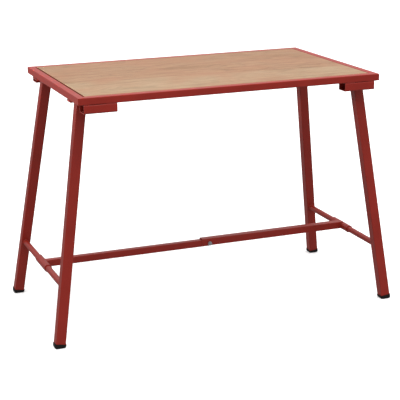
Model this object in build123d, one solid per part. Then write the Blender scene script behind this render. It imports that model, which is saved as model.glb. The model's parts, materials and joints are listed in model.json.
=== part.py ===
from build123d import *
import math
import os

# Folding steel workbench with a plywood top, in millimetres.
# X runs along the top, -Y is the front and Z points up.
# The origin is on the floor, midway between the feet.

# Top frame of square tube
TOP_LENGTH = 1100.0
TOP_DEPTH = 685.0
TOP_HEIGHT = 860.0
TOP_SHIFT = 11.0  # the top stands this far to the right of the middle of the feet
RAIL_SIDE = 25.0
RAIL_WALL = 2.0

# Plywood panel, flush with the rails, and the flat-bar ledges that carry it
PANEL_THICKNESS = 18.0
PANEL_END_GAP = 4.5
PANEL_SIDE_GAP = 1.0
PANEL_EDGE_CHAMFER = 0.8
LEDGE_WIDTH = 20.0
LEDGE_THICKNESS = 3.0

# Wood screws driven up through the ledges
SCREW_SHANK = 4.5
SCREW_HEAD = 9.0
SCREW_HEAD_HEIGHT = 2.5
SCREW_DEPTH = 12.0  # pilot hole in the panel
SCREW_TIP_GAP = 1.0
SCREW_CORNER_INSET = 75.0  # from the corners of the frame's opening to the nearest screws
SCREW_COUNT_LONG = 4
SCREW_COUNT_END = 3

# Hinge brackets: short lengths of rectangular tube under the long rails
BRACKET_LENGTH = 114.0
BRACKET_WIDTH = 50.0
BRACKET_HEIGHT = 30.0
BRACKET_WALL = 3.0
BRACKET_INSET = 19.0

# Hinges: one pivot bar for each pair of legs
HINGE_INSET_LEFT = 39.0
HINGE_INSET_RIGHT = 33.0
HINGE_DROP = 16.5  # from the underside of the rails to the axis
BAR_DIAMETER = 14.0
BAR_END = 12.0  # how far the bar reaches into the bracket
PIN_DIAMETER = 4.0
PIN_INSET = 5.0  # from the bracket's wall to the middle of the split pin
PIN_SWING_CLEARANCE = 1.0

# Splayed legs, tied low down
LEG_SIDE = 35.0
LEG_WALL = 2.0
LEG_TOP_EXTRA = 0.5  # rounded leg top, past half the leg's side
LEG_INSET = 114.5  # from the top's long faces to the legs' axes, at the hinge
FOOT_INSET = 38.5  # from the top's long faces to the legs' axes, on the floor
FOOT_OUTSET = 77.5  # from the top's ends to the legs' axes, on the floor
TIE_HEIGHT = 204.5
TIE_DIAMETER = 22.0

# Stop plates on the leg tops, which bear on the end rails
STOP_WIDTH = 40.0
STOP_THICKNESS = 6.0
STOP_GAP = 0.2

# Plastic foot caps
CAP_WALL = 2.5
CAP_HEIGHT = 14.0
CAP_SOLE = 5.0
CAP_CORNER = 8.0
CAP_ROUND = 7.0

# Knee brace between the ties: a tube that lies in an inverted channel
SLEEVE_DIAMETER = 28.0
SLEEVE_LENGTH = 130.0
BRACE_SIDE = 25.0
BRACE_WALL = 2.0
CHANNEL_WALL = 2.0
CHANNEL_HEIGHT = 26.5
CHANNEL_SIDE_GAP = 0.5
CHANNEL_TOP_GAP = 2.5
KNEE_OFFSET = 30.0  # from the middle of the top to the knee bolt
KNEE_DROP = 2.0  # from the tube's axis down to the bolt
CHANNEL_PAST_BOLT = 30.0

# Knee bolt
BOLT_DIAMETER = 8.0
BOLT_HEAD_FLATS = 13.0
BOLT_HEAD_HEIGHT = 5.3
NUT_HEIGHT = 6.8
BOLT_PAST_NUT = 3.0
WASHER_DIAMETER = 16.0
WASHER_THICKNESS = 1.6

# Radial clearances
RUNNING_CLEARANCE = 0.08
WELD_CLEARANCE = 0.05
BOLT_CLEARANCE = 0.25
KNEE_CLEARANCE = 0.75

# Places worked out from the sizes above
RAIL_BOTTOM = TOP_HEIGHT - RAIL_SIDE
INNER_LENGTH = TOP_LENGTH - 2 * RAIL_SIDE
INNER_DEPTH = TOP_DEPTH - 2 * RAIL_SIDE
HINGE_SPREAD = TOP_DEPTH - 2 * LEG_INSET
FOOT_SPREAD = TOP_DEPTH - 2 * FOOT_INSET
FOOT_SPAN = TOP_LENGTH + 2 * FOOT_OUTSET
HINGE_HEIGHT = RAIL_BOTTOM - HINGE_DROP
BRACKET_Y = (TOP_DEPTH - BRACKET_WIDTH) / 2
BRACKET_INNER_Y = TOP_DEPTH / 2 - BRACKET_WIDTH
LEDGE_TOP = TOP_HEIGHT - PANEL_THICKNESS
KNEE_X = TOP_SHIFT + KNEE_OFFSET
KNEE_HEIGHT = TIE_HEIGHT - KNEE_DROP
CHANNEL_WIDTH = BRACE_SIDE + 2 * (CHANNEL_SIDE_GAP + CHANNEL_WALL)
FAR = 2 * (TOP_LENGTH + TOP_DEPTH + TOP_HEIGHT)  # larger than the bench, for cutting tools

ENDS = {"left": -1, "right": 1}
SIDES = {"front": -1, "rear": 1}
HINGE_X = {
    "left": TOP_SHIFT - TOP_LENGTH / 2 + HINGE_INSET_LEFT,
    "right": TOP_SHIFT + TOP_LENGTH / 2 - HINGE_INSET_RIGHT,
}
# How far each pair of legs leans outwards, from the vertical
LEAN = {
    end: math.atan2(FOOT_SPAN / 2 - sign * HINGE_X[end], HINGE_HEIGHT)
    for end, sign in ENDS.items()
}
TIE_X = {
    end: HINGE_X[end] + sign * (HINGE_HEIGHT - TIE_HEIGHT) * math.tan(LEAN[end])
    for end, sign in ENDS.items()
}


def outline(width, height, wall):
    """Outer section of a drawn tube: its corners are rounded by one and a half walls."""
    return RectangleRounded(width, height, 1.5 * wall)


def tube_section(width, height, wall):
    """Section of a drawn tube."""
    return outline(width, height, wall) - RectangleRounded(
        width - 2 * wall, height - 2 * wall, 0.5 * wall
    )


def along_x(section, start, end):
    """A section drawn in Y and Z, swept along X from start to end."""
    return Pos(start, 0, 0) * extrude(Plane.YZ * section, end - start)


def rod(radius, length):
    """A round bar along Y, about the origin."""
    return Rot(90, 0, 0) * Cylinder(radius, length)


def hexagon(flats, start, end):
    """A hexagonal prism along Y, from start to end."""
    section = RegularPolygon(flats / 2, 6, major_radius=False)
    return Pos(0, end, 0) * Rot(90, 0, 0) * extrude(section, end - start)


def above(height):
    """Everything over a height."""
    return Pos(0, 0, height + FAR / 2) * Box(FAR, FAR, FAR)


def below(height):
    """Everything under a height."""
    return Pos(0, 0, height - FAR / 2) * Box(FAR, FAR, FAR)


def rail(length):
    """A mitred rail along X, with its outer face towards -Y."""
    half = RAIL_SIDE / 2
    tube = along_x(tube_section(RAIL_SIDE, RAIL_SIDE, RAIL_WALL), -length / 2, length / 2)
    mitre = Polygon(
        (-length / 2 - half, -RAIL_SIDE),
        (length / 2 + half, -RAIL_SIDE),
        (length / 2 - 3 * half, RAIL_SIDE),
        (-length / 2 + 3 * half, RAIL_SIDE),
        align=None,
    )
    return tube & (Pos(0, 0, -RAIL_SIDE) * extrude(mitre, 2 * RAIL_SIDE))


def rails():
    """The four welded rails of the top."""
    middle = Pos(TOP_SHIFT, 0, TOP_HEIGHT - RAIL_SIDE / 2)
    to_side = Pos(0, -(TOP_DEPTH - RAIL_SIDE) / 2, 0)
    to_end = Pos(0, -(TOP_LENGTH - RAIL_SIDE) / 2, 0)
    return {
        "front_rail": middle * to_side * rail(TOP_LENGTH),
        "rear_rail": middle * Rot(0, 0, 180) * to_side * rail(TOP_LENGTH),
        "left_end_rail": middle * Rot(0, 0, -90) * to_end * rail(TOP_DEPTH),
        "right_end_rail": middle * Rot(0, 0, 90) * to_end * rail(TOP_DEPTH),
    }


def spaced(length, count):
    """Evenly spaced places along one side of the frame's opening, about its middle."""
    reach = length / 2 - SCREW_CORNER_INSET
    return [reach * (2 * i / (count - 1) - 1) for i in range(count)]


def screw_places():
    """Where the panel screws stand on the ledges."""
    long_y = (INNER_DEPTH - LEDGE_WIDTH) / 2
    end_x = (INNER_LENGTH - LEDGE_WIDTH) / 2
    long_x = spaced(INNER_LENGTH, SCREW_COUNT_LONG)
    end_y = spaced(INNER_DEPTH, SCREW_COUNT_END)
    places = [(x, side * long_y) for side in SIDES.values() for x in long_x]
    places += [(end * end_x, y) for end in ENDS.values() for y in end_y]
    return [Pos(TOP_SHIFT + x, y, LEDGE_TOP) for x, y in places]


def panel():
    """The plywood panel, with pilot holes in its underside."""
    board = Box(
        INNER_LENGTH - 2 * PANEL_END_GAP,
        INNER_DEPTH - 2 * PANEL_SIDE_GAP,
        PANEL_THICKNESS,
        align=(Align.CENTER, Align.CENTER, Align.MIN),
    )
    board = chamfer(board.faces().sort_by(Axis.Z)[-1].edges(), PANEL_EDGE_CHAMFER)
    board = Pos(TOP_SHIFT, 0, LEDGE_TOP) * board
    pilot = Cylinder(SCREW_SHANK / 2 + WELD_CLEARANCE, 2 * SCREW_DEPTH)
    return board - [place * pilot for place in screw_places()]


def ledges():
    """Flat bars along the inner faces of the rails, drilled for the panel screws."""
    bars = {}
    height = LEDGE_TOP - LEDGE_THICKNESS / 2
    end_length = INNER_DEPTH - 2 * LEDGE_WIDTH
    for side, sign in SIDES.items():
        place = Pos(TOP_SHIFT, sign * (INNER_DEPTH - LEDGE_WIDTH) / 2, height)
        bars[f"{side}_ledge"] = place * Box(INNER_LENGTH, LEDGE_WIDTH, LEDGE_THICKNESS)
    for end, sign in ENDS.items():
        place = Pos(TOP_SHIFT + sign * (INNER_LENGTH - LEDGE_WIDTH) / 2, 0, height)
        bars[f"{end}_ledge"] = place * Box(LEDGE_WIDTH, end_length, LEDGE_THICKNESS)
    drill = Cylinder(SCREW_SHANK / 2 + BOLT_CLEARANCE, 4 * LEDGE_THICKNESS)
    drills = [place * drill for place in screw_places()]
    return {name: bar - drills for name, bar in bars.items()}


def panel_screws():
    """Pan-head wood screws, head down."""
    shank_length = LEDGE_THICKNESS + SCREW_DEPTH - SCREW_TIP_GAP
    shank = Pos(0, 0, shank_length / 2 - LEDGE_THICKNESS) * Cylinder(SCREW_SHANK / 2, shank_length)
    head = Cylinder(SCREW_HEAD / 2, SCREW_HEAD_HEIGHT)
    head = fillet(head.edges().sort_by(Axis.Z)[0], SCREW_HEAD_HEIGHT / 2)
    head = Pos(0, 0, -LEDGE_THICKNESS - SCREW_HEAD_HEIGHT / 2) * head
    screw = shank + head
    return Compound([place * screw for place in screw_places()])


def bracket(end, side):
    """A hinge bracket: an open tube with a bore in its inner wall."""
    section = tube_section(BRACKET_WIDTH, BRACKET_HEIGHT, BRACKET_WALL)
    outer = TOP_LENGTH / 2 - BRACKET_INSET
    tube = along_x(section, -BRACKET_LENGTH / 2, BRACKET_LENGTH / 2)
    tube = Pos(
        TOP_SHIFT + ENDS[end] * (outer - BRACKET_LENGTH / 2),
        SIDES[side] * BRACKET_Y,
        RAIL_BOTTOM - BRACKET_HEIGHT / 2,
    ) * tube
    bore = rod(BAR_DIAMETER / 2 + RUNNING_CLEARANCE, 2 * BRACKET_WALL)
    wall_y = SIDES[side] * (BRACKET_INNER_Y + BRACKET_WALL / 2)
    return tube - Pos(HINGE_X[end], wall_y, HINGE_HEIGHT) * bore


def frame_place(end):
    """From a leg frame's own axes, with the hinge along Y, to its place in the bench."""
    lean = -ENDS[end] * math.degrees(LEAN[end])
    return Pos(HINGE_X[end], 0, HINGE_HEIGHT) * Rot(0, lean, 0)


def leg_place(end, side):
    """From a leg's own axes, with the leg along -Z below the hinge, to its place."""
    drop = HINGE_HEIGHT / math.cos(LEAN[end])
    splay = math.degrees(math.atan2((FOOT_SPREAD - HINGE_SPREAD) / 2, drop))
    sign = SIDES[side]
    return frame_place(end) * Pos(0, sign * HINGE_SPREAD / 2, 0) * Rot(sign * splay, 0, 0)


def leg_reach(end):
    """Length of a leg's axis from the hinge to the floor."""
    drop = HINGE_HEIGHT / math.cos(LEAN[end])
    return math.hypot(drop, (FOOT_SPREAD - HINGE_SPREAD) / 2)


def leg_shape(end, side, section):
    """A leg's section run from the rounded top to the sole of its foot cap."""
    reach = leg_reach(end)
    shaft = Pos(0, 0, -reach - LEG_SIDE) * extrude(section, reach + 2 * LEG_SIDE)
    swing = frame_place(end) * rod(LEG_SIDE / 2 + LEG_TOP_EXTRA, FAR)
    return leg_place(end, side) * shaft - (frame_place(end) * above(0) - swing) - below(CAP_SOLE)


def leg(end, side):
    """A square tube leg, bored for the pivot bar."""
    shape = leg_shape(end, side, tube_section(LEG_SIDE, LEG_SIDE, LEG_WALL))
    return shape - frame_place(end) * rod(BAR_DIAMETER / 2 + WELD_CLEARANCE, FAR)


def leg_envelope(end, side):
    """The space that a leg fills."""
    return leg_shape(end, side, outline(LEG_SIDE, LEG_SIDE, LEG_WALL))


def leg_stop(end, side):
    """A plate from the leg's top to under the end rail, which stops the leg from opening."""
    length = TOP_LENGTH / 2 - abs(HINGE_X[end] - TOP_SHIFT)
    plate = Box(
        length,
        STOP_WIDTH,
        STOP_THICKNESS,
        align=(Align.MIN if end == "right" else Align.MAX, Align.CENTER, Align.MAX),
    )
    place = Pos(HINGE_X[end], SIDES[side] * HINGE_SPREAD / 2, RAIL_BOTTOM - STOP_GAP)
    return place * plate - leg_envelope(end, side)


def foot_cap(end, side):
    """A plastic cap on the leg's end, flat on the floor."""
    outer = LEG_SIDE + 2 * CAP_WALL
    section = RectangleRounded(outer, outer, CAP_CORNER)
    body = Pos(0, 0, -leg_reach(end) - LEG_SIDE) * extrude(section, LEG_SIDE + CAP_HEIGHT)
    body = leg_place(end, side) * body - below(0)
    body = fillet(body.faces().sort_by(Axis.Z)[0].edges(), CAP_ROUND)
    return body - leg_envelope(end, side)


def tie(end):
    """A round bar between the two legs of a frame, coped to their inner faces."""
    fall = (HINGE_HEIGHT - TIE_HEIGHT) / HINGE_HEIGHT
    bar = rod(TIE_DIAMETER / 2, HINGE_SPREAD + (FOOT_SPREAD - HINGE_SPREAD) * fall)
    bar = Pos(TIE_X[end], 0, TIE_HEIGHT) * bar
    return bar - [leg_envelope(end, side) for side in SIDES]


def pivot_bar(end):
    """The bar that both legs of a frame are welded to, cross-drilled for split pins."""
    bar = rod(BAR_DIAMETER / 2, 2 * (BRACKET_INNER_Y + BRACKET_WALL + BAR_END))
    drill = Cylinder(PIN_DIAMETER / 2 + WELD_CLEARANCE, 2 * BAR_DIAMETER)
    return frame_place(end) * (bar - [place * drill for place in pin_places()])


def pin_places():
    """Where the split pins cross a pivot bar, in the leg frame's axes."""
    y = BRACKET_INNER_Y + BRACKET_WALL + PIN_INSET
    return [Pos(0, sign * y, 0) for sign in SIDES.values()]


def pivot_pins(end):
    """The pins inside the brackets that keep a pivot bar in place."""
    room = min(HINGE_DROP, BRACKET_HEIGHT - HINGE_DROP) - BRACKET_WALL - PIN_SWING_CLEARANCE
    pin = Cylinder(PIN_DIAMETER / 2, 2 * math.sqrt(room**2 - (PIN_DIAMETER / 2) ** 2))
    return Compound([frame_place(end) * place * pin for place in pin_places()])


def sleeve(end):
    """A tube that turns on a tie and carries one half of the brace."""
    ring = rod(SLEEVE_DIAMETER / 2, SLEEVE_LENGTH)
    ring -= rod(TIE_DIAMETER / 2 + RUNNING_CLEARANCE, 2 * SLEEVE_LENGTH)
    return Pos(TIE_X[end], 0, TIE_HEIGHT) * ring


def sleeve_envelope(end):
    """The space that a sleeve fills, with its bore."""
    return Pos(TIE_X[end], 0, TIE_HEIGHT) * rod(SLEEVE_DIAMETER / 2, SLEEVE_LENGTH)


def knee_drill(clearance):
    """The knee bolt's hole, along Y."""
    return Pos(KNEE_X, 0, KNEE_HEIGHT) * rod(BOLT_DIAMETER / 2 + clearance, FAR)


def brace_tube():
    """The left half of the brace, coped to its sleeve and rounded at the knee."""
    section = tube_section(BRACE_SIDE, BRACE_SIDE, BRACE_WALL)
    tube = Pos(0, 0, TIE_HEIGHT) * along_x(section, TIE_X["left"], KNEE_X + BRACE_SIDE)
    beyond = Pos(FAR / 2, 0, 0) * Box(FAR, FAR, FAR) - rod(BRACE_SIDE / 2, FAR)
    tube -= Pos(KNEE_X, 0, TIE_HEIGHT) * beyond
    return tube - sleeve_envelope("left") - knee_drill(KNEE_CLEARANCE)


def brace_channel():
    """The right half of the brace, an inverted channel over the tube's end."""
    top = TIE_HEIGHT + BRACE_SIDE / 2 + CHANNEL_TOP_GAP + CHANNEL_WALL
    inner_width = CHANNEL_WIDTH - 2 * CHANNEL_WALL
    section = outline(CHANNEL_WIDTH, 2 * CHANNEL_HEIGHT, CHANNEL_WALL)
    section -= RectangleRounded(
        inner_width, 2 * (CHANNEL_HEIGHT - CHANNEL_WALL), 0.5 * CHANNEL_WALL
    )
    channel = along_x(section, KNEE_X - CHANNEL_PAST_BOLT, TIE_X["right"])
    channel = Pos(0, 0, top - CHANNEL_HEIGHT) * channel - below(top - CHANNEL_HEIGHT)
    return channel - sleeve_envelope("right") - knee_drill(BOLT_CLEARANCE)


def knee_bolt():
    """The bolt through both halves of the brace, with its head to the front."""
    face = CHANNEL_WIDTH / 2 + WASHER_THICKNESS
    tip = face + NUT_HEIGHT + BOLT_PAST_NUT
    shank = Pos(0, (tip - face) / 2, 0) * rod(BOLT_DIAMETER / 2, tip + face)
    bolt = shank + hexagon(BOLT_HEAD_FLATS, -face - BOLT_HEAD_HEIGHT, -face)
    return Pos(KNEE_X, 0, KNEE_HEIGHT) * bolt


def knee_nut():
    """The nut behind the brace."""
    face = CHANNEL_WIDTH / 2 + WASHER_THICKNESS
    nut = hexagon(BOLT_HEAD_FLATS, face, face + NUT_HEIGHT)
    return Pos(KNEE_X, 0, KNEE_HEIGHT) * nut - knee_drill(WELD_CLEARANCE)


def knee_washers():
    """A washer under the bolt's head and one under the nut."""
    ring = rod(WASHER_DIAMETER / 2, WASHER_THICKNESS)
    middle = (CHANNEL_WIDTH + WASHER_THICKNESS) / 2
    places = [Pos(KNEE_X, sign * middle, KNEE_HEIGHT) for sign in SIDES.values()]
    return Compound([place * ring - knee_drill(BOLT_CLEARANCE) for place in places])


def bench():
    """Every piece of the bench, by name."""
    pieces = rails() | ledges()
    pieces["plywood_top"] = panel()
    pieces["panel_screws"] = panel_screws()
    for end in ENDS:
        pieces[f"{end}_pivot_bar"] = pivot_bar(end)
        pieces[f"{end}_pivot_pins"] = pivot_pins(end)
        pieces[f"{end}_tie"] = tie(end)
        pieces[f"{end}_brace_sleeve"] = sleeve(end)
        for side in SIDES:
            pieces[f"{side}_{end}_bracket"] = bracket(end, side)
            pieces[f"{side}_{end}_leg"] = leg(end, side)
            pieces[f"{side}_{end}_leg_stop"] = leg_stop(end, side)
            pieces[f"{side}_{end}_foot_cap"] = foot_cap(end, side)
    pieces["left_brace_tube"] = brace_tube()
    pieces["right_brace_channel"] = brace_channel()
    pieces["knee_bolt"] = knee_bolt()
    pieces["knee_nut"] = knee_nut()
    pieces["knee_washers"] = knee_washers()
    return pieces


os.makedirs("parts", exist_ok=True)
for name, shape in bench().items():
    export_step(shape, f"parts/{name}.step")
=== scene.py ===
"""Dresses the folding workbench: enamelled steel, plywood, plastic feet, zinc plate and welds."""
import json
import math

import bmesh
import bpy
from mathutils import Matrix, Vector


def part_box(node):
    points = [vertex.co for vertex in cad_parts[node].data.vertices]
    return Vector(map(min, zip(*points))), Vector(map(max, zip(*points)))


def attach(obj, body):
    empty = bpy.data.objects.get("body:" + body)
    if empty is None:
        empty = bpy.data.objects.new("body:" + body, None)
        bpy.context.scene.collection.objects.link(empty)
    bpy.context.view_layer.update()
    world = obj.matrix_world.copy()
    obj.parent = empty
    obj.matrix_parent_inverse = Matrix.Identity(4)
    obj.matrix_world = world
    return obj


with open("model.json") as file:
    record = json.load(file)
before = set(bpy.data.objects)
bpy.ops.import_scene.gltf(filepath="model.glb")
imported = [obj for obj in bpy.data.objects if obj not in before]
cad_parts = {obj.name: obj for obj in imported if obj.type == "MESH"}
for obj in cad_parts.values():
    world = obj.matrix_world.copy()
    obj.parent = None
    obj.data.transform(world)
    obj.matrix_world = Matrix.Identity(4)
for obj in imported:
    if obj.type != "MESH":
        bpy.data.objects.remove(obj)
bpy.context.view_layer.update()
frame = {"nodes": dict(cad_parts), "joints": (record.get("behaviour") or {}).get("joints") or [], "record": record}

MM = 0.001
JOINTS = {joint["name"]: joint for joint in frame["joints"]}
MOUNTS = {mount["name"]: mount for mount in frame["record"]["mounts"]}
ENDS = {"left": -1, "right": 1}
SIDES = {"front": -1, "rear": 1}

# The photograph's camera: a long lens a little above the bench, to the left of its middle
IMAGE_SIDE = 400
FOCAL_PIXELS = 1238.9
SENSOR_WIDTH = 36  # millimetres
FAR_CLIP = 100  # metres
CAMERA_PLACE = Vector((-1584.8, -4148.6, 1614.1)) * MM
CAMERA_YAW = math.radians(21.02)
CAMERA_PITCH = math.radians(15.62)
CAMERA_ROLL = math.radians(-0.74)

# Steel sizes that the welds follow
LEG_SIDE = 35 * MM
LEG_TOP_RADIUS = 18 * MM

# Weld beads: rings of points, rippled along the bead and tapered at open ends
BEAD_RADIUS = 2.2 * MM
BEAD_PITCH = 2.4 * MM
BEAD_SIDES = 8
RINGS_PER_RIPPLE = 3
FEWEST_RINGS = 6
RIPPLE = 0.13  # of the radius
END_SHARE = 0.45  # of the radius, at an open end
END_STEP = 0.2  # gained with each ring
ROUND_POINTS = 48
COPE_STEPS = 12

# Where the beads and their stitches lie
BEAD_MARGIN = 4 * MM
GROOVE_DEPTH = 2.5 * MM
OUTER_STITCH = 20 * MM
INNER_STITCH = 38 * MM
MITRE_STITCH = (8 * MM, 18 * MM)
LEDGE_STITCH = 25 * MM
LEDGE_STITCHES_LONG = [x * MM for x in (-360, -180, 0, 180, 360)]
LEDGE_STITCHES_END = [y * MM for y in (-120, 120)]

# Studio light and floor
SKY_BELOW = 0.40
SKY_HORIZON = 0.30
SKY_ZENITH = 1.95
OVERHEAD_WATTS = 40
STRIP_WATTS = 0.36
FLOOR_GLOW = 0.26
FLOOR_HALF = 30  # metres


def colour(hex_code):
    """An sRGB hex colour as linear RGBA."""
    channels = [int(hex_code[i:i + 2], 16) / 255 for i in (1, 3, 5)]
    linear = [c / 12.92 if c <= 0.04045 else ((c + 0.055) / 1.055) ** 2.4 for c in channels]
    return (*linear, 1.0)


def grey(value):
    """A grey for a ramp that carries a number."""
    return (value, value, value, 1.0)


def per_metre(millimetres):
    """A texture scale with one feature in that many millimetres."""
    return 1000 / millimetres


def add(tree, kind, inputs=None, stops=(), **settings):
    """Adds a node, sets its properties and ramp stops, and fills its inputs with values or links."""
    node = tree.nodes.new(kind)
    for name, value in settings.items():
        setattr(node, name, value)
    for name, value in (inputs or {}).items():
        if isinstance(value, bpy.types.NodeSocket):
            tree.links.new(value, node.inputs[name])
        else:
            node.inputs[name].default_value = value
    if stops:
        elements = node.color_ramp.elements
        while len(elements) < len(stops):
            elements.new(1.0)
        for element, (position, value) in zip(elements, stops):
            element.position = position
            element.color = value
    return node


def new_material(name):
    """An empty node material, with its shader and its object coordinates."""
    material = bpy.data.materials.new(name)
    material.use_nodes = True
    tree = material.node_tree
    place = add(tree, "ShaderNodeTexCoord").outputs["Object"]
    return material, tree, tree.nodes["Principled BSDF"], place


def red_enamel():
    """Oven-cured red enamel on steel tube: semi-gloss, faint orange peel, thin on the edges with a painted
    highlight, painted shade in seams.
    """
    material, tree, shader, place = new_material("red_enamel")
    cloud = add(tree, "ShaderNodeTexNoise",
                {"Vector": place, "Scale": per_metre(90), "Detail": 3.0, "Roughness": 0.6})
    tone = add(tree, "ShaderNodeValToRGB", {"Fac": cloud.outputs["Fac"]},
               stops=((0.30, colour("#8A2217")), (0.72, colour("#94251A"))))
    # The enamel runs thin over sharp edges, and a painted highlight there makes them a little paler
    rounded = add(tree, "ShaderNodeBevel", {"Radius": 1.6 * MM}, samples=4)
    flat = add(tree, "ShaderNodeNewGeometry")
    turn = add(tree, "ShaderNodeVectorMath",
               {0: rounded.outputs["Normal"], 1: flat.outputs["Normal"]}, operation="DOT_PRODUCT")
    edge = add(tree, "ShaderNodeValToRGB", {"Fac": turn.outputs["Value"]},
               stops=((0.80, grey(0.55)), (0.985, grey(0.0))))
    thin_paint_and_highlight = add(tree, "ShaderNodeMix",
               {"Factor": edge.outputs["Color"], "A": tone.outputs["Color"], "B": colour("#A8453A")},
               data_type="RGBA")
    # Painted shade: seams and the insides of tubes, where little light reaches, are darkened
    painted_shade_ao = add(tree, "ShaderNodeAmbientOcclusion", {"Distance": 22 * MM}, samples=8)
    painted_shade_amount = add(tree, "ShaderNodeValToRGB", {"Fac": painted_shade_ao.outputs["AO"]},
               stops=((0.12, grey(0.85)), (0.60, grey(0.0))))
    paint = add(tree, "ShaderNodeMix",
                {"Factor": painted_shade_amount.outputs["Color"], "A": thin_paint_and_highlight.outputs["Result"], "B": colour("#2E0F0C")},
                data_type="RGBA")
    tree.links.new(paint.outputs["Result"], shader.inputs["Base Color"])
    gloss = add(tree, "ShaderNodeValToRGB", {"Fac": cloud.outputs["Fac"]},
                stops=((0.25, grey(0.36)), (0.75, grey(0.46))))
    tree.links.new(gloss.outputs["Color"], shader.inputs["Roughness"])
    # Real orange peel is about 1.5 mm, drawn coarser here so that it shows
    peel = add(tree, "ShaderNodeTexNoise", {"Vector": place, "Scale": per_metre(4), "Detail": 1.0})
    bump = add(tree, "ShaderNodeBump",
               {"Height": peel.outputs["Fac"], "Strength": 0.12, "Distance": 0.3 * MM})
    tree.links.new(bump.outputs["Normal"], shader.inputs["Normal"])
    shader.inputs["IOR"].default_value = 1.5
    shader.inputs["Specular IOR Level"].default_value = 0.31
    return material


def sanded_plywood():
    """Rotary-cut plywood, sanded and sealed: wandering growth rings along X, edges showing the plies in painted
    shade.
    """
    material, tree, shader, place = new_material("sanded_plywood")
    axes = add(tree, "ShaderNodeSeparateXYZ", {"Vector": place})
    # Broad figure: waves about 60 mm wide and 260 mm long
    broad_space = add(tree, "ShaderNodeMapping",
                      {"Vector": place, "Scale": (per_metre(260), per_metre(60), per_metre(60))})
    broad = add(tree, "ShaderNodeTexNoise",
                {"Vector": broad_space.outputs["Vector"], "Scale": 1.0, "Detail": 4.0,
                 "Roughness": 0.6, "Distortion": 1.6})
    heartwood = add(tree, "ShaderNodeValToRGB", {"Fac": broad.outputs["Fac"]},
                    stops=((0.28, colour("#8C684C")), (0.46, colour("#9A7659")),
                           (0.58, colour("#9F7D61")), (0.74, colour("#926C50"))))
    sapwood = add(tree, "ShaderNodeValToRGB", {"Fac": broad.outputs["Fac"]},
                  stops=((0.28, colour("#93775B")), (0.48, colour("#A18568")),
                         (0.60, colour("#A58B6E")), (0.74, colour("#977B5E"))))
    # The front third is paler sapwood, and its border slants and wanders a little
    border_slant = 0.09
    border_wander = 90 * MM
    border_start, border_end = -75 * MM, -35 * MM
    wander = add(tree, "ShaderNodeTexNoise", {"Vector": place, "Scale": per_metre(240), "Detail": 2.0})
    border = add(tree, "ShaderNodeMath",
                 {0: axes.outputs["X"], 1: border_slant, 2: axes.outputs["Y"]}, operation="MULTIPLY_ADD")
    drift = add(tree, "ShaderNodeMath",
                {0: wander.outputs["Fac"], 1: border_wander, 2: border.outputs["Value"]},
                operation="MULTIPLY_ADD")
    is_heart = add(tree, "ShaderNodeMapRange",
                   {"Value": drift.outputs["Value"], "From Min": border_start, "From Max": border_end},
                   interpolation_type="SMOOTHSTEP")
    face = add(tree, "ShaderNodeMix",
               {"Factor": is_heart.outputs["Result"], "A": sapwood.outputs["Color"],
                "B": heartwood.outputs["Color"]}, data_type="RGBA")
    # Peeling the log lays its growth rings open as contours, about 120 mm wide and 520 mm long
    growth_rings = 16.0
    ring_space = add(tree, "ShaderNodeMapping",
                     {"Vector": place, "Scale": (per_metre(520), per_metre(120), per_metre(400))})
    ring_field = add(tree, "ShaderNodeTexNoise",
                     {"Vector": ring_space.outputs["Vector"], "Scale": 1.0, "Detail": 2.0,
                      "Roughness": 0.42, "Distortion": 0.5})
    ring_count = add(tree, "ShaderNodeMath",
                     {0: ring_field.outputs["Fac"], 1: growth_rings}, operation="MULTIPLY")
    ring = add(tree, "ShaderNodeMath", {0: ring_count.outputs["Value"]}, operation="FRACT")
    ring_tone = add(tree, "ShaderNodeValToRGB", {"Fac": ring.outputs["Value"]},
                    stops=((0.0, grey(0.84)), (0.10, grey(1.0)), (0.60, grey(0.96)), (1.0, grey(0.82))))
    ringed = add(tree, "ShaderNodeMix",
                 {"Factor": 1.0, "A": face.outputs["Result"], "B": ring_tone.outputs["Color"]},
                 data_type="RGBA", blend_type="MULTIPLY")
    # Streaks along the grain, about 9 mm wide and 140 mm long
    streak_space = add(tree, "ShaderNodeMapping",
                       {"Vector": place, "Scale": (per_metre(140), per_metre(9), per_metre(9))})
    streaks = add(tree, "ShaderNodeTexNoise",
                  {"Vector": streak_space.outputs["Vector"], "Scale": 1.0, "Detail": 5.0,
                   "Roughness": 0.65, "Distortion": 0.7})
    streak_tone = add(tree, "ShaderNodeValToRGB", {"Fac": streaks.outputs["Fac"]},
                      stops=((0.30, grey(0.80)), (0.62, grey(1.0))))
    streaked = add(tree, "ShaderNodeMix",
                   {"Factor": 1.0, "A": ringed.outputs["Result"], "B": streak_tone.outputs["Color"]},
                   data_type="RGBA", blend_type="MULTIPLY")
    # Open pores, about 1.6 mm wide and 30 mm long
    pore_space = add(tree, "ShaderNodeMapping",
                     {"Vector": place, "Scale": (per_metre(30), per_metre(1.6), per_metre(1.6))})
    pores = add(tree, "ShaderNodeTexNoise",
                {"Vector": pore_space.outputs["Vector"], "Scale": 1.0, "Detail": 3.0})
    pore_tone = add(tree, "ShaderNodeValToRGB", {"Fac": pores.outputs["Fac"]},
                    stops=((0.34, grey(0.74)), (0.50, grey(1.0))))
    grained = add(tree, "ShaderNodeMix",
                  {"Factor": 1.0, "A": streaked.outputs["Result"], "B": pore_tone.outputs["Color"]},
                  data_type="RGBA", blend_type="MULTIPLY")
    # Warm, pinkish patches a hand wide
    patch = add(tree, "ShaderNodeTexNoise", {"Vector": place, "Scale": per_metre(170), "Detail": 2.0})
    patch_amount = add(tree, "ShaderNodeValToRGB", {"Fac": patch.outputs["Fac"]},
                       stops=((0.42, grey(0.0)), (0.66, grey(0.45))))
    board = add(tree, "ShaderNodeMix",
                {"Factor": patch_amount.outputs["Color"], "A": grained.outputs["Result"],
                 "B": colour("#986C52")}, data_type="RGBA")
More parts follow.
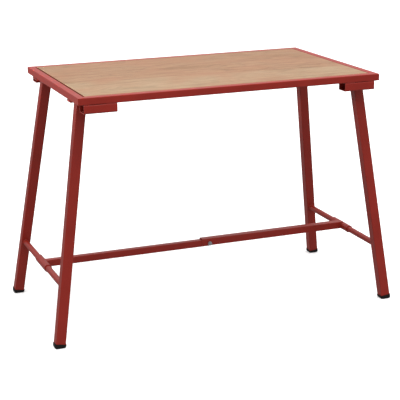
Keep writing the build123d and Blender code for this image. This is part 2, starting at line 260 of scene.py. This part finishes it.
    # Edges show the plies, painted dark to stand for the shade in the narrow gap beside the rails
    ply_thickness = 2.6
    layer = add(tree, "ShaderNodeMath",
                {0: axes.outputs["Z"], 1: ply_thickness * MM}, operation="PINGPONG")
    depth = add(tree, "ShaderNodeMath",
                {0: layer.outputs["Value"], 1: per_metre(ply_thickness)}, operation="MULTIPLY")
    plies_in_painted_shade = add(tree, "ShaderNodeValToRGB", {"Fac": depth.outputs["Value"]},
                stops=((0.45, colour("#7A452D")), (0.55, colour("#96593C"))))
    facing = add(tree, "ShaderNodeSeparateXYZ",
                 {"Vector": add(tree, "ShaderNodeNewGeometry").outputs["Normal"]})
    upright = add(tree, "ShaderNodeMath", {0: facing.outputs["Z"]}, operation="ABSOLUTE")
    is_face = add(tree, "ShaderNodeValToRGB", {"Fac": upright.outputs["Value"]},
                  stops=((0.80, grey(0.0)), (0.95, grey(1.0))))
    wood = add(tree, "ShaderNodeMix",
               {"Factor": is_face.outputs["Color"], "A": plies_in_painted_shade.outputs["Color"],
                "B": board.outputs["Result"]}, data_type="RGBA")
    tree.links.new(wood.outputs["Result"], shader.inputs["Base Color"])
    bump = add(tree, "ShaderNodeBump",
               {"Height": pores.outputs["Fac"], "Strength": 0.15, "Distance": 0.2 * MM})
    tree.links.new(bump.outputs["Normal"], shader.inputs["Normal"])
    rough = add(tree, "ShaderNodeValToRGB", {"Fac": streaks.outputs["Fac"]},
                stops=((0.30, grey(0.66)), (0.70, grey(0.56))))
    tree.links.new(rough.outputs["Color"], shader.inputs["Roughness"])
    shader.inputs["IOR"].default_value = 1.45
    shader.inputs["Specular IOR Level"].default_value = 0.25
    return material


def black_polythene():
    """Moulded black polythene feet: matt, with a fine spark-eroded grain and floor dust."""
    material, tree, shader, place = new_material("black_polythene")
    grain = add(tree, "ShaderNodeTexNoise", {"Vector": place, "Scale": per_metre(1.4), "Detail": 2.0})
    scuff = add(tree, "ShaderNodeTexNoise", {"Vector": place, "Scale": per_metre(12), "Detail": 4.0})
    tone = add(tree, "ShaderNodeValToRGB", {"Fac": scuff.outputs["Fac"]},
               stops=((0.40, colour("#0A0706")), (0.75, colour("#120D0C"))))
    tree.links.new(tone.outputs["Color"], shader.inputs["Base Color"])
    bump = add(tree, "ShaderNodeBump",
               {"Height": grain.outputs["Fac"], "Strength": 0.25, "Distance": 0.15 * MM})
    tree.links.new(bump.outputs["Normal"], shader.inputs["Normal"])
    shader.inputs["Roughness"].default_value = 0.6
    shader.inputs["IOR"].default_value = 1.5
    shader.inputs["Specular IOR Level"].default_value = 0.25
    return material


def zinc_plate():
    """Bright zinc-plated steel: pale grey metal with cloudy, slightly rough crystals."""
    material, tree, shader, place = new_material("zinc_plated_steel")
    cloud = add(tree, "ShaderNodeTexNoise", {"Vector": place, "Scale": per_metre(5), "Detail": 4.0})
    tone = add(tree, "ShaderNodeValToRGB", {"Fac": cloud.outputs["Fac"]},
               stops=((0.30, colour("#9A9C9E")), (0.70, colour("#C3C5C8"))))
    tree.links.new(tone.outputs["Color"], shader.inputs["Base Color"])
    rough = add(tree, "ShaderNodeValToRGB", {"Fac": cloud.outputs["Fac"]},
                stops=((0.30, grey(0.42)), (0.70, grey(0.28))))
    tree.links.new(rough.outputs["Color"], shader.inputs["Roughness"])
    shader.inputs["Metallic"].default_value = 1.0
    return material


def dress_nodes(finishes):
    """Gives every CAD node the finish of its slot."""
    slots = {row["node"]: row["material_slot"] for row in frame["record"]["subparts"]}
    for name, piece in frame["nodes"].items():
        piece.data.materials.clear()
        piece.data.materials.append(finishes[slots[name]])


def even_points(points, closed, step):
    """Points at an even spacing along a line."""
    line = points + [points[0]] if closed else points
    lengths = [(b - a).length for a, b in zip(line, line[1:])]
    total = sum(lengths)
    count = max(FEWEST_RINGS, round(total / step))
    result = []
    for i in range(count if closed else count + 1):
        left = total * i / count
        span = 0
        while span < len(lengths) - 1 and left > lengths[span]:
            left -= lengths[span]
            span += 1
        a, b = line[span], line[span + 1]
        result.append(a.lerp(b, min(1.0, left / lengths[span])))
    return result


def lay_bead(mesh, points, closed):
    """Adds a rippled bead along a line of points, or round it, to a mesh."""
    path = even_points([Vector(p) for p in points], closed, BEAD_PITCH / RINGS_PER_RIPPLE)
    count = len(path)
    turns = [2 * math.pi * k / BEAD_SIDES for k in range(BEAD_SIDES)]
    rings = []
    side = (path[1] - path[0]).orthogonal()
    for i, point in enumerate(path):
        ahead = path[(i + 1) % count] if closed else path[min(i + 1, count - 1)]
        behind = path[i - 1] if closed else path[max(i - 1, 0)]
        along = (ahead - behind).normalized()
        side = (side - along * side.dot(along)).normalized()
        other = along.cross(side)
        ripple = 1 + RIPPLE * math.cos(2 * math.pi * i / RINGS_PER_RIPPLE)
        taper = 1.0 if closed else min(1.0, END_SHARE + END_STEP * min(i, count - 1 - i))
        radius = BEAD_RADIUS * ripple * taper
        rings.append([mesh.verts.new(point + radius * (math.cos(t) * side + math.sin(t) * other))
                      for t in turns])
    pairs = list(zip(rings, rings[1:])) + ([(rings[-1], rings[0])] if closed else [])
    for a, b in pairs:
        for k in range(BEAD_SIDES):
            after = (k + 1) % BEAD_SIDES
            mesh.faces.new((a[k], a[after], b[after], b[k]))
    if not closed:
        mesh.faces.new(reversed(rings[0]))
        mesh.faces.new(rings[-1])


def lay_welds(name, body, runs, rounds, finish):
    """One piece with a group of welds, straight runs and closed rounds, painted over."""
    mesh = bmesh.new()
    for points in runs:
        lay_bead(mesh, points, False)
    for points in rounds:
        lay_bead(mesh, points, True)
    bmesh.ops.recalc_face_normals(mesh, faces=mesh.faces)
    data = bpy.data.meshes.new(name)
    mesh.to_mesh(data)
    mesh.free()
    data.polygons.foreach_set("use_smooth", [True] * len(data.polygons))
    data.materials.append(finish)
    piece = bpy.data.objects.new(name, data)
    bpy.context.scene.collection.objects.link(piece)
    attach(piece, body)


def leg_line(end, side):
    """Where a leg's axis meets the hinge, and the direction square to the leg towards its pair."""
    hinge = Vector(JOINTS[f"{end}_leg_fold"]["pos_m"])
    low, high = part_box(f"{side}_{end}_leg_stop")
    top = Vector((hinge.x, (low.y + high.y) / 2, hinge.z))
    foot = Vector(MOUNTS[f"{side}_{end}_sole"]["pos_m"])
    along = (foot - top).normalized()
    across = Vector((0, 1, 0)) - along * along.y
    return top, -SIDES[side] * across.normalized()


def ring_on_plane(centre, radius, plane_point, normal):
    """Where a round bar along Y through centre meets a plane."""
    points = []
    for k in range(ROUND_POINTS):
        t = 2 * math.pi * k / ROUND_POINTS
        p = centre + radius * Vector((math.cos(t), 0, math.sin(t)))
        p.y += (plane_point - p).dot(normal) / normal.y
        points.append(p)
    return points


def leg_welds(end, finish):
    """Welds where the tie, the pivot bar and the stops meet the legs of one frame."""
    hinge = Vector(JOINTS[f"{end}_leg_fold"]["pos_m"])
    tie = Vector(JOINTS[f"{end}_brace_swing"]["pos_m"])
    tie_low, tie_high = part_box(f"{end}_tie")
    bar_low, bar_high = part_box(f"{end}_pivot_bar")
    tie_radius = (tie_high.z - tie_low.z) / 2
    bar_radius = (bar_high.z - bar_low.z) / 2
    runs = []
    rounds = []
    for side in SIDES:
        top, inward = leg_line(end, side)
        inner = top + inward * LEG_SIDE / 2
        outer = top - inward * LEG_SIDE / 2
        rounds.append(ring_on_plane(tie, tie_radius, inner, inward))
        rounds.append(ring_on_plane(hinge, bar_radius, inner, inward))
        rounds.append(ring_on_plane(hinge, bar_radius, outer, inward))
        # Under the stop plate, where it meets the leg's round top
        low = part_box(f"{side}_{end}_leg_stop")[0]
        x = hinge.x + ENDS[end] * math.sqrt(LEG_TOP_RADIUS**2 - (low.z - hinge.z)**2)
        half = LEG_SIDE / 2 - BEAD_RADIUS
        runs.append([(x, top.y - half, low.z), (x, top.y + half, low.z)])
    lay_welds(f"{end}_leg_welds", f"{end}_leg_frame", runs, rounds, finish)


def brace_welds(end, half, finish):
    """Welds on both sides of half the brace, where it meets its sleeve."""
    tie = Vector(JOINTS[f"{end}_brace_swing"]["pos_m"])
    low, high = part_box(f"{end}_brace_sleeve")
    radius = (high.x - low.x) / 2
    half_low, half_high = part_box(half)
    bottom = max(half_low.z - tie.z, -radius)
    crown = min(half_high.z - tie.z, radius)
    heights = [bottom + (crown - bottom) * k / COPE_STEPS for k in range(COPE_STEPS + 1)]
    reaches = [ENDS[end] * math.sqrt(max(radius**2 - z**2, 0)) for z in heights]
    runs = [[(tie.x - x, y, tie.z + z) for x, z in zip(reaches, heights)]
            for y in (half_low.y, half_high.y)]
    lay_welds(f"{end}_brace_welds", f"{end}_brace", runs, [], finish)


def bracket_welds(finish):
    """Welds between the hinge brackets and the long rails: stitched outside, run through inside."""
    runs = []
    for side, sign in SIDES.items():
        rail_low, rail_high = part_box(f"{side}_rail")
        outside, inside = (rail_high.y, rail_low.y) if sign > 0 else (rail_low.y, rail_high.y)
        # The stitches lie in the groove between the round corners of the two tubes
        groove = outside - sign * GROOVE_DEPTH
        for end, towards in ENDS.items():
            low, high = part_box(f"{side}_{end}_bracket")
            outer, inner = (high.x, low.x) if towards > 0 else (low.x, high.x)
            for y, start, stop in (
                (inside, outer - towards * BEAD_MARGIN, inner + towards * BEAD_MARGIN),
                (groove, outer - towards * BEAD_MARGIN, outer - towards * OUTER_STITCH),
                (groove, inner + towards * BEAD_MARGIN, inner + towards * INNER_STITCH),
            ):
                runs.append([(start, y, high.z), (stop, y, high.z)])
    lay_welds("bracket_welds", "top", runs, [], finish)


def mitre_welds(finish):
    """Welds under the mitred corners of the frame."""
    runs = []
    for side, sign in SIDES.items():
        low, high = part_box(f"{side}_rail")
        y = high.y if sign > 0 else low.y
        for towards in ENDS.values():
            x = high.x if towards > 0 else low.x
            runs.append([(x - towards * d, y - sign * d, low.z) for d in MITRE_STITCH])
    lay_welds("mitre_welds", "top", runs, [], finish)


def ledge_welds(finish):
    """Stitches under the ledges, which hold them to the rails."""
    half = LEDGE_STITCH / 2
    runs = []
    for side, sign in SIDES.items():
        low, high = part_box(f"{side}_ledge")
        y = high.y if sign > 0 else low.y
        for x in LEDGE_STITCHES_LONG:
            runs.append([((low.x + high.x) / 2 + x + d, y, low.z) for d in (-half, half)])
    for end, towards in ENDS.items():
        low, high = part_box(f"{end}_ledge")
        x = high.x if towards > 0 else low.x
        for y in LEDGE_STITCHES_END:
            runs.append([(x, y + d, low.z) for d in (-half, half)])
    lay_welds("ledge_welds", "top", runs, [], finish)


def make_camera():
    """The camera that took the photograph."""
    ahead = Vector((math.sin(CAMERA_YAW) * math.cos(CAMERA_PITCH),
                    math.cos(CAMERA_YAW) * math.cos(CAMERA_PITCH), -math.sin(CAMERA_PITCH)))
    level = Vector((math.cos(CAMERA_YAW), -math.sin(CAMERA_YAW), 0))
    upright = level.cross(ahead)
    right = math.cos(CAMERA_ROLL) * level + math.sin(CAMERA_ROLL) * upright
    up = -math.sin(CAMERA_ROLL) * level + math.cos(CAMERA_ROLL) * upright
    data = bpy.data.cameras.new("camera")
    data.sensor_width = SENSOR_WIDTH
    data.lens = FOCAL_PIXELS / IMAGE_SIDE * data.sensor_width
    data.clip_end = FAR_CLIP
    camera = bpy.data.objects.new("camera", data)
    turned = Matrix((right, up, -ahead)).transposed().to_4x4()
    camera.matrix_world = Matrix.Translation(CAMERA_PLACE) @ turned
    bpy.context.scene.collection.objects.link(camera)
    bpy.context.scene.camera = camera


def softbox(name, place, target, width, height, spread, watts):
    """A soft light aimed at a point, with a grid that narrows its beam."""
    data = bpy.data.lights.new(name, "AREA")
    data.shape = "RECTANGLE"
    data.size = width
    data.size_y = height
    data.spread = math.radians(spread)
    data.energy = watts
    light = bpy.data.objects.new(name, data)
    light.location = place
    light.rotation_mode = "QUATERNION"
    light.rotation_quaternion = (Vector(target) - Vector(place)).to_track_quat("-Z", "Y")
    bpy.context.scene.collection.objects.link(light)


def make_floor():
    """A plain pale floor."""
    material, tree, shader, place = new_material("pale_floor")
    shade = add(tree, "ShaderNodeTexNoise", {"Vector": place, "Scale": per_metre(1700), "Detail": 1.0})
    tone = add(tree, "ShaderNodeValToRGB", {"Fac": shade.outputs["Fac"]},
               stops=((0.3, colour("#F6F6F6")), (0.7, colour("#FAFAFA"))))
    tree.links.new(tone.outputs["Color"], shader.inputs["Base Color"])
    shader.inputs["Roughness"].default_value = 0.9
    shader.inputs["Specular IOR Level"].default_value = 0.1
    # Lit from within like a cove, so the bench throws hardly any shadow on it
    shader.inputs["Emission Color"].default_value = colour("#FFFFFF")
    shader.inputs["Emission Strength"].default_value = FLOOR_GLOW
    mesh = bpy.data.meshes.new("floor")
    turns = ((-1, -1), (1, -1), (1, 1), (-1, 1))
    corners = [(FLOOR_HALF * x, FLOOR_HALF * y, 0) for x, y in turns]
    mesh.from_pydata(corners, [], [(0, 1, 2, 3)])
    mesh.materials.append(material)
    floor = bpy.data.objects.new("floor", mesh)
    # The ground throws no light back on the bench, and keeps none of the studio's from it
    floor.visible_diffuse = False
    floor.visible_glossy = False
    floor.visible_shadow = False
    bpy.context.scene.collection.objects.link(floor)


def make_light():
    """A soft sky of studio light before a white backdrop, a softbox overhead and a strip at the left."""
    world = bpy.data.worlds.new("studio")
    world.use_nodes = True
    tree = world.node_tree
    direction = add(tree, "ShaderNodeSeparateXYZ",
                    {"Vector": add(tree, "ShaderNodeTexCoord").outputs["Generated"]})
    # Dim and even below the horizon, and brighter towards the zenith
    sky = add(tree, "ShaderNodeMapRange",
              {"Value": direction.outputs["Z"], "From Min": 0.0, "From Max": 1.0,
               "To Min": SKY_HORIZON, "To Max": SKY_ZENITH})
    above = add(tree, "ShaderNodeMath",
                {0: direction.outputs["Z"], 1: 0.0}, operation="GREATER_THAN")
    light = add(tree, "ShaderNodeMix",
                {"Factor": above.outputs["Value"], "A": SKY_BELOW, "B": sky.outputs["Result"]})
    # The backdrop itself is plain white
    seen = add(tree, "ShaderNodeLightPath").outputs["Is Camera Ray"]
    strength = add(tree, "ShaderNodeMix", {"Factor": seen, "A": light.outputs["Result"], "B": 1.0})
    background = tree.nodes["Background"]
    background.inputs["Color"].default_value = colour("#FFFFFF")
    tree.links.new(strength.outputs["Result"], background.inputs["Strength"])
    bpy.context.scene.world = world
    softbox("overhead", place=(0, -0.9, 3.4), target=(0, 0, 0.86),
            width=1.6, height=1.2, spread=180, watts=OVERHEAD_WATTS)
    softbox("left_strip", place=(-2.9, -0.3, 1.15), target=(-0.54, 0, 0.86),
            width=1.0, height=0.12, spread=9, watts=STRIP_WATTS)
    bpy.context.scene.view_settings.view_transform = "Standard"


finishes = {
    "red_paint": red_enamel(),
    "plywood": sanded_plywood(),
    "black_plastic": black_polythene(),
    "zinc_steel": zinc_plate(),
}
dress_nodes(finishes)
for end, half in (("left", "left_brace_tube"), ("right", "right_brace_channel")):
    leg_welds(end, finishes["red_paint"])
    brace_welds(end, half, finishes["red_paint"])
for lay_group in (bracket_welds, mitre_welds, ledge_welds):
    lay_group(finishes["red_paint"])
make_floor()
make_light()
make_camera()
